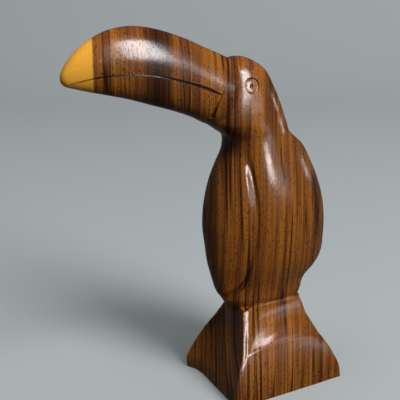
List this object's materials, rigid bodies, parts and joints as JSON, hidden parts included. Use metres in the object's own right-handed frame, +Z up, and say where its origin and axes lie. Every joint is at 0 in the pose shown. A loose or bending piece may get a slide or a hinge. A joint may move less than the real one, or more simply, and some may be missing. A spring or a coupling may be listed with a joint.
{
  "type": "toucan sculpture",
  "caption": "Standing toucan with a long, deep beak, carved in one piece with the flared plinth that it stands on.",
  "frame": {"origin": "middle of the plinth's underside", "axes": "+Z up through the bird, -X the way the beak points, +Y to the bird's right"},
  "size_m": [0.1523, 0.055, 0.205],
  "materials": {
    "rosewood": "polished striped rosewood with pale sapwood at the end of the beak"
  },
  "bodies": {
    "root": {"toucan": "rosewood"}
  },
  "joints": []
}
